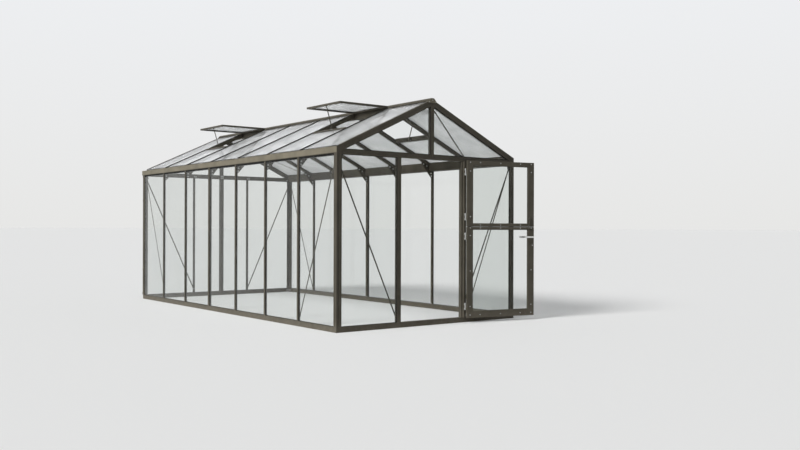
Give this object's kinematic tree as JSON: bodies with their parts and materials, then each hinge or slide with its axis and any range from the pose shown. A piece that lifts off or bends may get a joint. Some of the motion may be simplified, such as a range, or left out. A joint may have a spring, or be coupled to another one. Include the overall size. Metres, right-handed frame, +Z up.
{
  "type": "glass greenhouse",
  "caption": "Gable-roofed glass greenhouse on a slim metal frame, with box gutters, roof vents held open and a stable door in two leaves.",
  "frame": {"origin": "on the ground plane, at the underside of the front base rail, under the middle of the doorway", "axes": "+Z up, +Y along the building from the door gable to the back, +X to the right as seen from in front of the door"},
  "size_m": [2.6079, 5.5719, 2.5032],
  "materials": {
    "frame_paint": "dark brown-grey powder coat, satin",
    "gutter_paint": "pale olive-grey powder coat, satin",
    "clear_glass": "clear toughened glass with a faint green tint",
    "milky_glass": "obscured, milky toughened glass with a glossy skin",
    "bright_metal": "bare brushed aluminium"
  },
  "bodies": {
    "house": {"back_glazing_bars": "frame_paint", "base_back": "frame_paint", "base_front": "frame_paint", "base_sides": "frame_paint", "braces": "frame_paint", "centre_post_back": "frame_paint", "corner_posts_back": "frame_paint", "corner_posts_front": "frame_paint", "door_post_hinge": "frame_paint", "door_post_latch": "frame_paint", "downpipes": "frame_paint", "glass_back": "clear_glass", "glass_front": "clear_glass", "glass_roof": "milky_glass", "glass_sides": "clear_glass", "gutter_left": "gutter_paint", "gutter_right": "gutter_paint", "hinge_knuckles_fixed": "bright_metal", "king_post_front": "frame_paint", "knee_plates": "frame_paint", "rafters_left": "frame_paint", "rafters_right": "frame_paint", "rakes_back": "frame_paint", "rakes_front": "frame_paint", "ridge_beam": "frame_paint", "ridge_end_plates": "frame_paint", "side_bars_left": "frame_paint", "side_bars_right": "frame_paint", "tie_beam_back": "frame_paint", "tie_beam_front": "frame_paint", "vent_glass": "milky_glass", "vent_sashes_left": "frame_paint", "vent_sashes_right": "frame_paint", "vent_sills": "frame_paint", "vent_stays": "frame_paint"},
    "upper_door": {"upper_door_frame": "frame_paint", "upper_door_glass": "clear_glass", "hinge_leaves_upper": "bright_metal", "bolt_guides": "frame_paint"},
    "lower_door": {"lower_door_frame": "frame_paint", "lower_door_glass": "clear_glass", "hinge_leaves_lower": "bright_metal", "bolt_keeper": "frame_paint"},
    "lever": {"lever_handle": "bright_metal"},
    "bolt": {"slide_bolt": "frame_paint"}
  },
  "joints": [
    {"name": "upper_door_hinge", "type": "hinge", "parent": "house", "child": "upper_door", "pos_m": [0.459, -0.057, 1.4], "axis": [0, 0, 1], "range_deg": [-168, 5]},
    {"name": "lower_door_hinge", "type": "hinge", "parent": "house", "child": "lower_door", "pos_m": [0.459, -0.057, 0.6], "axis": [0, 0, 1], "range_deg": [-168, 5]},
    {"name": "lever_turn", "type": "hinge", "parent": "lower_door", "child": "lever", "pos_m": [1.3139, -0.23872, 0.967], "axis": [-0.2079, -0.9781, 0], "range_deg": [0, 40], "stiffness_Nm_per_rad": 1, "springref_deg": -34.38},
    {"name": "bolt_slide", "type": "slide", "parent": "upper_door", "child": "bolt", "axis": [0, 0, 1], "range_m": [-0.03, 0]}
  ]
}
